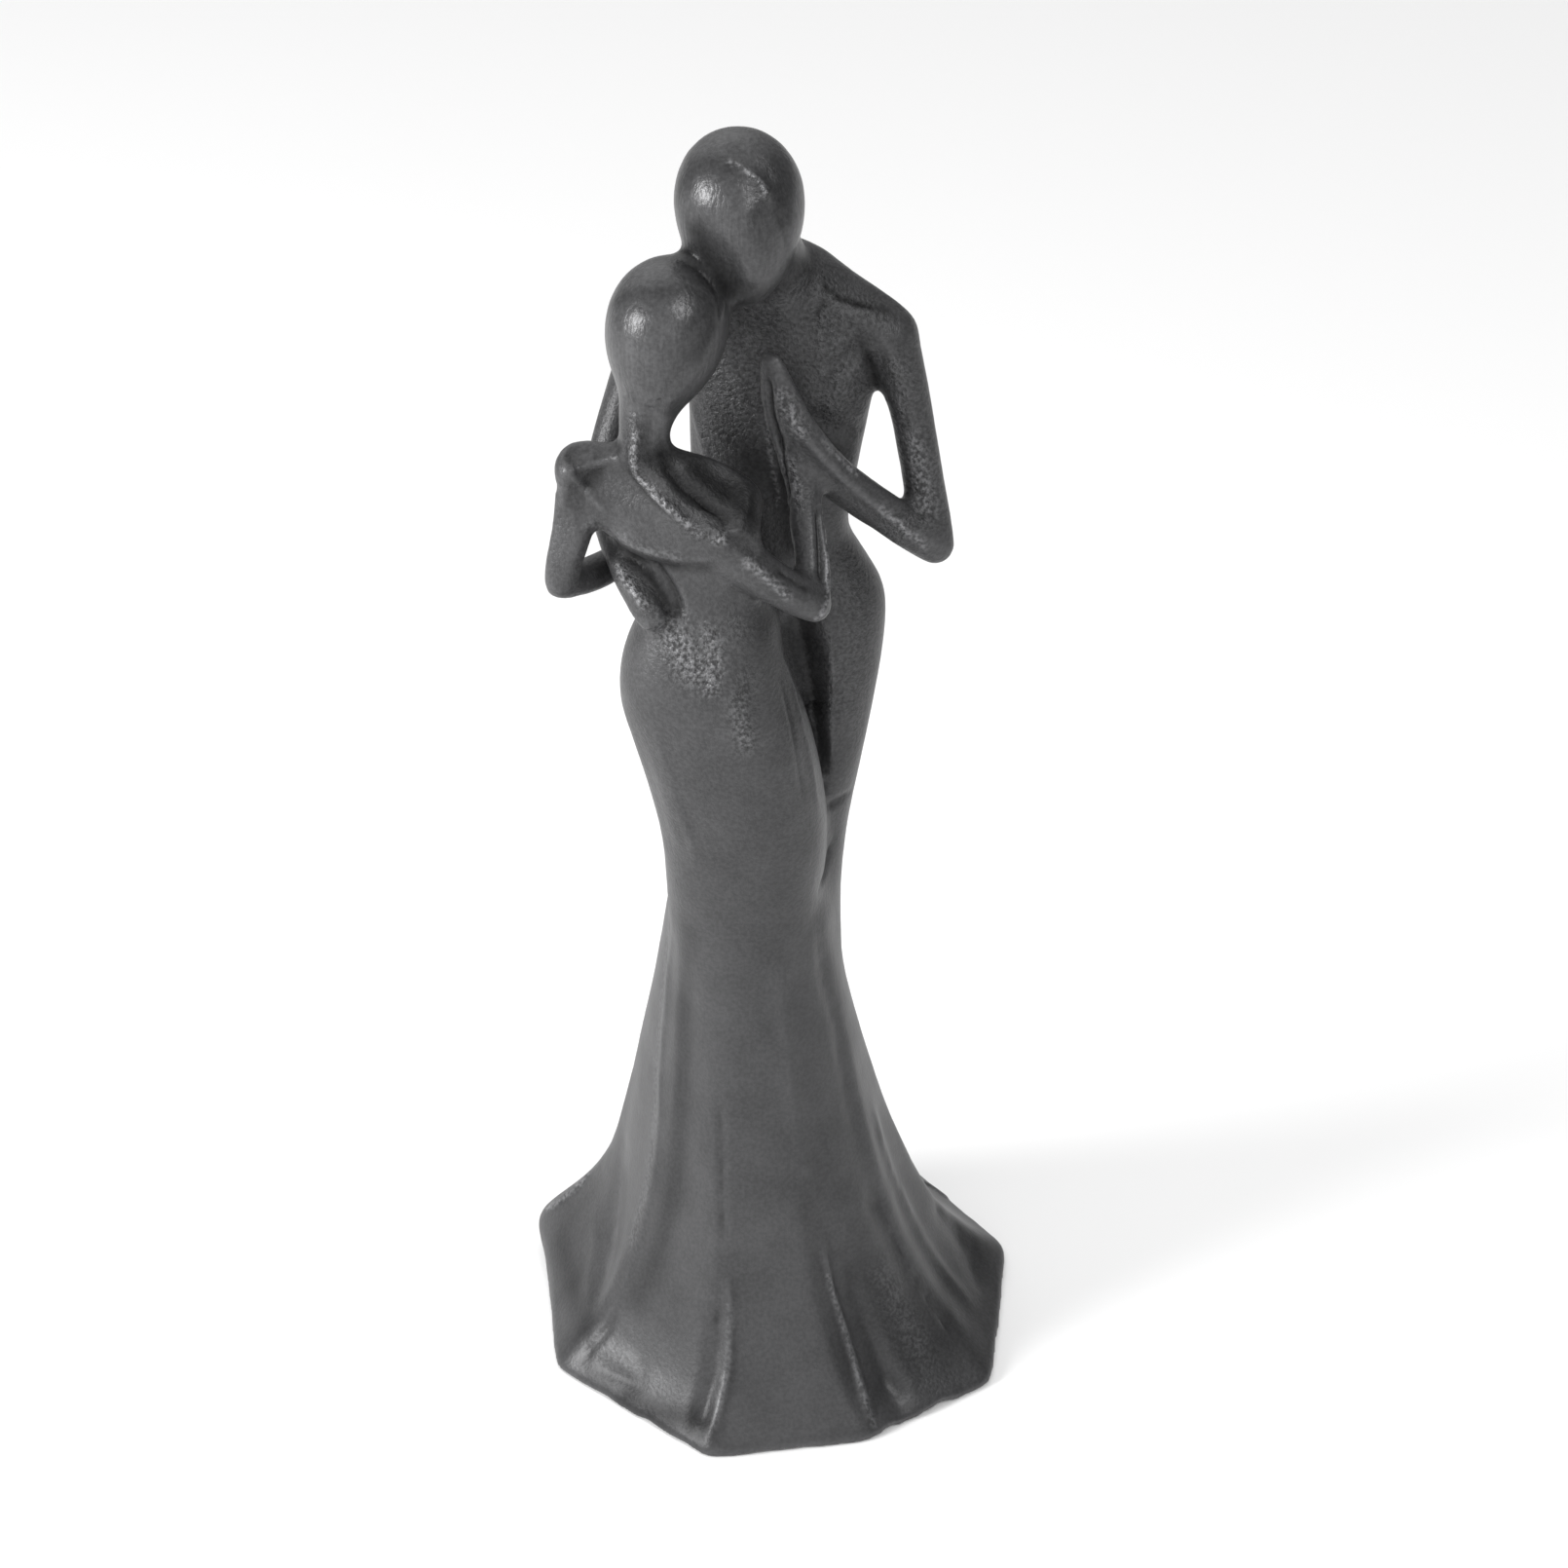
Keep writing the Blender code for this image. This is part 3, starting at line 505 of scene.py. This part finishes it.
def near_line(points, normals, line, line_normals, reach):
    """The points near a line on its side of the skin, with each one's gap and nearest place on the line."""
    inside = (points > line.min(axis=0) - reach) & (points < line.max(axis=0) + reach)
    near = np.flatnonzero(inside.all(axis=1))
    nearest = np.empty(len(near), int)
    gap = np.empty(len(near))
    for part in np.array_split(np.arange(len(near)), 1 + len(near) // POINTS_AT_ONCE):
        gaps = np.linalg.norm(points[near[part], None] - line[None], axis=2)
        nearest[part] = gaps.argmin(axis=1)
        gap[part] = gaps.min(axis=1)
    facing = np.einsum("ij,ij->i", normals[near], line_normals[nearest])
    kept = (gap < reach) & (facing > 0)
    return near[kept], gap[kept], nearest[kept]


def ends_eased(nearest, line, breadth):
    """A factor that falls smoothly to 0 at both ends of a line, the more so the thinner its stroke is."""
    place = nearest / (len(line) - 1)
    ease = np.clip(np.minimum(place, 1 - place) / EASED_SHARE, 0, 1)
    length = np.linalg.norm(line[-1] - line[0])
    thinness = min(max(MOST_EASING - EASING_LOSS * breadth / length, 0), 1)
    return 1 - thinness * (1 - ease * ease * (3 - 2 * ease))


def relief_lifts(points, normals, tree):
    """How far the relief lifts each point of the skin."""
    lifts = np.zeros(len(points))
    uneven_lifts = np.zeros(len(points))
    for kind, height, breadth, pixels in RELIEF.values():
        line, line_normals = on_skin(tree, pixels)
        if len(line) < FEWEST_PLACES:
            continue
        uneven_share = min(1.0, UNEVEN_HEIGHT / abs(height))
        height, breadth = height * MM, breadth * MM
        near, gap, nearest = near_line(points, normals, line, line_normals, STROKE_REACH * breadth)
        lift = height * np.exp(-(gap / breadth)**2) * ends_eased(nearest, line, breadth)
        if kind == "groove":
            lift *= -1
        if kind == "tilt":
            along = np.gradient(line, axis=0)[nearest]
            along /= np.linalg.norm(along, axis=1)[:, None] + TINY
            rightwards = np.cross(along, line_normals[nearest])
            lift *= -np.einsum("ij,ij->i", rightwards, points[near] - line[nearest]) / breadth
        lifts[near] += lift
        uneven_lifts[near] += lift * uneven_share
    return lifts + uneven_lifts * UNEVENNESS * waves(points, UNEVEN_WAVE)


def zone_values(points, normals, tree, zones):
    """How strongly each point of the skin lies in the given zones, from 0 to 1."""
    values = np.zeros(len(points))
    for strength, breadth, pixels in zones.values():
        line, line_normals = on_skin(tree, pixels)
        if len(line) < FEWEST_PLACES:
            continue
        near, gap, nearest = near_line(points, normals, line, line_normals, ZONE_REACH * breadth * MM)
        values[near] = np.maximum(values[near], strength * np.exp(-(gap / (breadth * MM))**2))
    return values


def polished_values(points):
    """How strongly each point lies on the polished heads, from 0 to 1."""
    values = np.zeros(len(points))
    for middle, radius in POLISHED.values():
        away = np.linalg.norm(points - np.array(middle) * MM, axis=1)
        values = np.maximum(values, np.clip((radius * MM - away) / POLISH_FADE, 0, 1))
    return values


def skin_tree(mesh, points):
    """The skin, ready to be hit by rays."""
    return BVHTree.FromPolygons(points.tolist(), [tuple(face.vertices) for face in mesh.polygons])


def carve(skin):
    """Works the relief, the unevenness of the hand-shaped model and the sand grain into the skin."""
    mesh = skin.data
    points, normals = read_points(mesh)
    tree = skin_tree(mesh, points)
    lifts = relief_lifts(points, normals, tree)
    lifts += HAND_HEIGHT * waves(points, HAND_WAVE)
    coarse = 1 + COARSE_GRAIN_GAIN * zone_values(points, normals, tree, COARSE_GRAIN)
    lifts += GRAIN_HEIGHT * coarse * waves(points, GRAIN_WAVE)
    points += normals * lifts[:, None]
    mesh.vertices.foreach_set("co", points.ravel())
    mesh.update()


def edge_values(mesh, points, normals):
    """How sharply the skin turns at each point: below 0.5 in hollows, above 0.5 on edges."""
    edges = np.empty(len(mesh.edges) * 2, int)
    mesh.edges.foreach_get("vertices", edges)
    first, second = edges.reshape(-1, 2).T
    span = points[second] - points[first]
    size = np.einsum("ij,ij->i", span, span) + TINY
    count = len(points)
    falls = np.bincount(first, -np.einsum("ij,ij->i", span, normals[first]) / size, count)
    falls += np.bincount(second, np.einsum("ij,ij->i", span, normals[second]) / size, count)
    ties = np.bincount(first, minlength=count) + np.bincount(second, minlength=count)
    bend = falls / np.maximum(ties, 1)
    for step in range(EDGE_PASSES):
        spread = np.bincount(first, bend[second], count) + np.bincount(second, bend[first], count)
        bend = 0.5 * bend + 0.5 * spread / np.maximum(ties, 1)
    return np.clip(0.5 + bend * EDGE_GAIN, 0, 1)


def mark_zones(skin):
    """Stores where the skin is coarse, rubbed with painted highlights, in painted shade, sharp and polished,
    for the material.
    """
    mesh = skin.data
    points, normals = read_points(mesh)
    tree = skin_tree(mesh, points)
    marks = {
        "coarse": zone_values(points, normals, tree, COARSE_GRAIN),
        "wear_and_highlight": zone_values(points, normals, tree, WEAR_AND_HIGHLIGHT),
        "painted_shade": zone_values(points, normals, tree, PAINTED_SHADE),
        "edge": edge_values(mesh, points, normals),
        "polished": polished_values(points),
    }
    for name, values in marks.items():
        mark = mesh.attributes.new(name, "FLOAT", "POINT")
        mark.data.foreach_set("value", values.astype(np.float32))


class Nodes:
    """Short ways to add and join a material's nodes."""

    def __init__(self, material):
        self.tree = material.node_tree

    def add(self, kind, inputs=None, **settings):
        """A new node with the given settings, and with its inputs set or joined."""
        node = self.tree.nodes.new("ShaderNode" + kind)
        for name, value in settings.items():
            setattr(node, name, value)
        for name, value in (inputs or {}).items():
            if isinstance(value, bpy.types.NodeSocket):
                self.tree.links.new(value, node.inputs[name])
            else:
                node.inputs[name].default_value = value
        return node

    def math(self, operation, first, second, third=None):
        inputs = {0: first, 1: second}
        if third is not None:
            inputs[2] = third
        return self.add("Math", inputs, operation=operation).outputs[0]

    def mark(self, name):
        """What the skin's points store under a name."""
        return self.add("Attribute", attribute_name=name).outputs["Fac"]

    def spots(self, place, scale, detail):
        """Noise with the given number of waves to the metre, from about 0.25 to 0.75."""
        return self.add("TexNoise", {"Vector": place, "Scale": scale, "Detail": detail}).outputs["Fac"]

    def span(self, value, low, high, to_low=0.0, to_high=1.0):
        """The value brought from one range to another, and held inside it."""
        inputs = {"Value": value, "From Min": low, "From Max": high, "To Min": to_low, "To Max": to_high}
        return self.add("MapRange", inputs).outputs["Result"]

    def changed(self, value, changes, zones):
        """The value with more or less of it where each zone is strong."""
        for zone, change in changes.items():
            value = self.math("MULTIPLY_ADD", zones[zone], change, value)
        return value


def iron_zones(nodes, place):
    """Where the skin is coarse, rubbed with painted highlights, in painted shade, sharp, polished and above
    the skirt, from 0 to 1.
    """
    zones = {name: nodes.mark(name) for name in ("coarse", "wear_and_highlight", "painted_shade", "edge", "polished")}
    up = nodes.add("SeparateXYZ", {"Vector": place}).outputs["Z"]
    zones["upper"] = nodes.span(up, *SMOOTH_SKIRT)
    return zones


def iron_patterns(nodes, place):
    """The patterns of the iron's surface."""
    brushed = nodes.add("Mapping", {"Vector": place, "Scale": BRUSH_DRAWN_OUT, "Rotation": BRUSH_TURN})
    cells = nodes.add("TexVoronoi", {"Vector": place, "Scale": PIT_CELLS})
    return {
        "sand": nodes.spots(place, *SAND_GRAIN),
        "fine": nodes.spots(place, *FINE_GRAIN),
        "cloud": nodes.spots(place, *CLOUDS),
        "brush": nodes.spots(brushed.outputs["Vector"], *BRUSH_LINES),
        "pits": nodes.span(cells.outputs["Distance"], *PIT_SPOT, 1.0, 0.0),
    }


def iron_surface(nodes, zones, patterns):
    """The direction of the surface with its grain, brush lines and pits."""
    height = 0.0
    for name, (everywhere, changes) in PATTERN_LIFTS.items():
        lift = nodes.changed(everywhere, changes, zones)
        height = nodes.math("MULTIPLY_ADD", patterns[name], lift, height)
    return nodes.add("Bump", {"Strength": 1.0, "Distance": 1.0, "Height": height}).outputs["Normal"]


def iron_bright(nodes, zones, patterns):
    """Rubbed wear and painted highlights: the grain's peaks in the wear-and-highlight zones, and sharp
    edges, made lighter.
    """
    peaks = nodes.span(patterns["sand"], *WEAR_AND_HIGHLIGHT_PEAKS)
    # Sharp edges are lightened: partly rubbed wear, partly a painted highlight.
    sharp = nodes.math("MULTIPLY", nodes.span(zones["edge"], *SHARP_SPAN), SHARP_BRIGHTNESS)
    return nodes.math("ADD", nodes.math("MULTIPLY", zones["wear_and_highlight"], peaks), sharp)


def iron_shade(nodes, zones, patterns, lit):
    """The grey of the iron, with painted shade in hollows and in the painted-shade zones, and lighter where
    it is rubbed and painted with highlights.
    """
    shade = nodes.span(patterns["cloud"], *CLOUD_SPAN, *CLOUD_SHADES)
    brushed = nodes.math("MULTIPLY", nodes.span(patterns["brush"], *GRAIN_SPAN), zones["polished"])
    shade = nodes.math("MULTIPLY_ADD", brushed, BRUSH_SHADE, shade)
    shade = nodes.math("MULTIPLY_ADD", nodes.span(patterns["sand"], *GRAIN_SPAN), GRAIN_SHADE, shade)
    # Rubbed wear and painted highlights lighten the colour.
    shade = nodes.math("MULTIPLY_ADD", zones["bright"], BRIGHT_SHADE, shade)
    # Painted shade in hollows: the colour darkens where the skin turns inwards.
    hollow = nodes.span(zones["edge"], *HOLLOW_SPAN, 1.0, 1.0 - HOLLOW_PAINTED_SHADE)
    shade = nodes.math("MULTIPLY", nodes.math("MULTIPLY", shade, hollow), lit)
    everywhere, changes = GRAIN_CONTRAST_ZONES
    contrast = nodes.changed(everywhere, changes, zones)
    grain = nodes.span(patterns["sand"], *GRAIN_SPAN, -GRAIN_CONTRAST, GRAIN_CONTRAST)
    return nodes.math("MULTIPLY", shade, nodes.math("MULTIPLY_ADD", grain, contrast, 1.0))


def iron():
    """Dark waxed cast iron: sand grain, pits, brush lines, rubbed edges with painted highlights, and painted
    shade in hollows and on shaded planes.
    """
    material = bpy.data.materials.new("dark_iron")
    material.use_nodes = True
    nodes = Nodes(material)
    place = nodes.add("TexCoord").outputs["Object"]
    zones = iron_zones(nodes, place)
    patterns = iron_patterns(nodes, place)
    zones["bright"] = iron_bright(nodes, zones, patterns)
    # Painted shade: the colour and the shine are lowered in the painted-shade zones.
    lit = nodes.math("MULTIPLY_ADD", zones["painted_shade"], -PAINTED_SHADE_LOSS, 1.0)
    shade = iron_shade(nodes, zones, patterns, lit)
    blue = nodes.math("MULTIPLY", shade, BLUE_CAST)
    tint = nodes.add("CombineColor", {"Red": shade, "Green": shade, "Blue": blue})
    rough = nodes.span(patterns["cloud"], *CLOUD_SPAN, *CLOUD_ROUGHNESS)
    shader = material.node_tree.nodes["Principled BSDF"]
    shader.inputs["Metallic"].default_value = METALLIC
    results = {
        "Base Color": tint.outputs["Color"],
        "Roughness": nodes.changed(rough, ROUGHNESS_CHANGES, zones),
        # Painted shade also lowers the shine.
        "Specular IOR Level": nodes.math("MULTIPLY", lit, SHINE),
        "Normal": iron_surface(nodes, zones, patterns),
    }
    for socket, result in results.items():
        nodes.tree.links.new(result, shader.inputs[socket])
    return material


def area_light(name, towards, distance, size, power):
    """A soft square light, aimed at the statue's middle from the given direction."""
    data = bpy.data.lights.new(name, "AREA")
    data.size = size
    data.energy = power
    lamp = bpy.data.objects.new(name, data)
    direction = Vector(towards).normalized()
    lamp.location = Vector(LAMP_AIM) + direction * distance
    lamp.rotation_euler = direction.to_track_quat("Z", "Y").to_euler()
    bpy.context.scene.collection.objects.link(lamp)


def sky():
    """Soft surroundings that are brightest in the directions of their lobes."""
    world = bpy.data.worlds.new("studio")
    world.use_nodes = True
    nodes = Nodes(world)
    looking = nodes.add("TexCoord").outputs["Generated"]
    light = SKY_EVEN
    for towards, strength in SKY_LOBES:
        directions = {0: looking, 1: Vector(towards).normalized()}
        facing = nodes.add("VectorMath", directions, operation="DOT_PRODUCT").outputs["Value"]
        lobe = nodes.math("POWER", nodes.math("MAXIMUM", facing, 0.0), SKY_SHARPNESS)
        light = nodes.math("MULTIPLY_ADD", lobe, strength, light)
    background = world.node_tree.nodes["Background"]
    background.inputs["Color"].default_value = (1, 1, 1, 1)
    nodes.tree.links.new(light, background.inputs["Strength"])
    bpy.context.scene.world = world
    bpy.context.scene.view_settings.view_transform = "Standard"


def pale_floor():
    """The plain floor that the statue stands on."""
    bpy.ops.mesh.primitive_plane_add(size=FLOOR_SIZE)
    floor = bpy.context.active_object
    floor.name = "floor"
    material = bpy.data.materials.new("pale_floor")
    material.use_nodes = True
    shader = material.node_tree.nodes["Principled BSDF"]
    shader.inputs["Base Color"].default_value = FLOOR_COLOUR
    shader.inputs["Roughness"].default_value = FLOOR_ROUGHNESS
    floor.data.materials.append(material)


def studio():
    """The plain studio: soft light all round, soft lamps and a pale floor."""
    sky()
    for name, (towards, distance, size, power) in LAMPS.items():
        area_light(name, towards, distance, size, power)
    pale_floor()


photo_camera()
studio()
skin = fine_skin("couple_statue")
carve(skin)
thin_out(skin)
cut_flat(skin)
mark_zones(skin)
skin.data.materials.clear()
skin.data.materials.append(iron())
skin.data.shade_smooth()
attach(skin, "root")
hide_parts("couple_statue")
